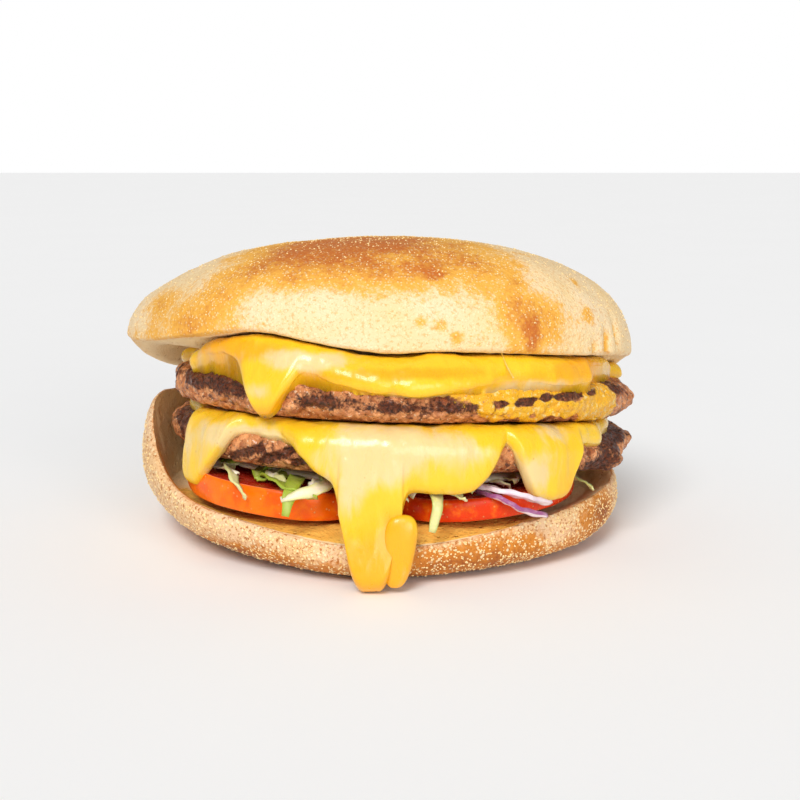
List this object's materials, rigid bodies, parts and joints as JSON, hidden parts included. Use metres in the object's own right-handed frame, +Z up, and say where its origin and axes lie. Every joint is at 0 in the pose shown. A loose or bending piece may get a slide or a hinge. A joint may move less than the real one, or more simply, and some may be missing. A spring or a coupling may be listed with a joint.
{
  "type": "double cheeseburger in a flat roll, without fries",
  "caption": "Double cheeseburger in a flat toasted roll, with melted cheese running down over tomato, lettuce and red onion.",
  "frame": {"origin": "middle of the flat base of the lower half of the roll, on the surface it stands on", "axes": "+Z up, -Y towards the front, where the long drip of cheese hangs, +X to the right as seen from the front"},
  "size_m": [0.1308, 0.1224, 0.0764],
  "materials": {
    "crust": "floury baked bread crust",
    "beef": "grilled minced beef, charred on top",
    "cheese": "melted processed cheese",
    "tomato": "wet tomato flesh and skin",
    "lettuce": "shredded crisp lettuce",
    "onion": "raw red onion"
  },
  "bodies": {
    "root": {"roll_heel": "crust", "roll_crown": "crust", "patty_lower": "beef", "patty_upper": "beef", "cheese_lower": "cheese", "cheese_upper": "cheese", "tomato_left": "tomato", "tomato_right": "tomato", "tomato_back": "tomato", "lettuce_shreds": "lettuce", "onion_pale": "onion", "onion_purple": "onion"}
  },
  "joints": []
}
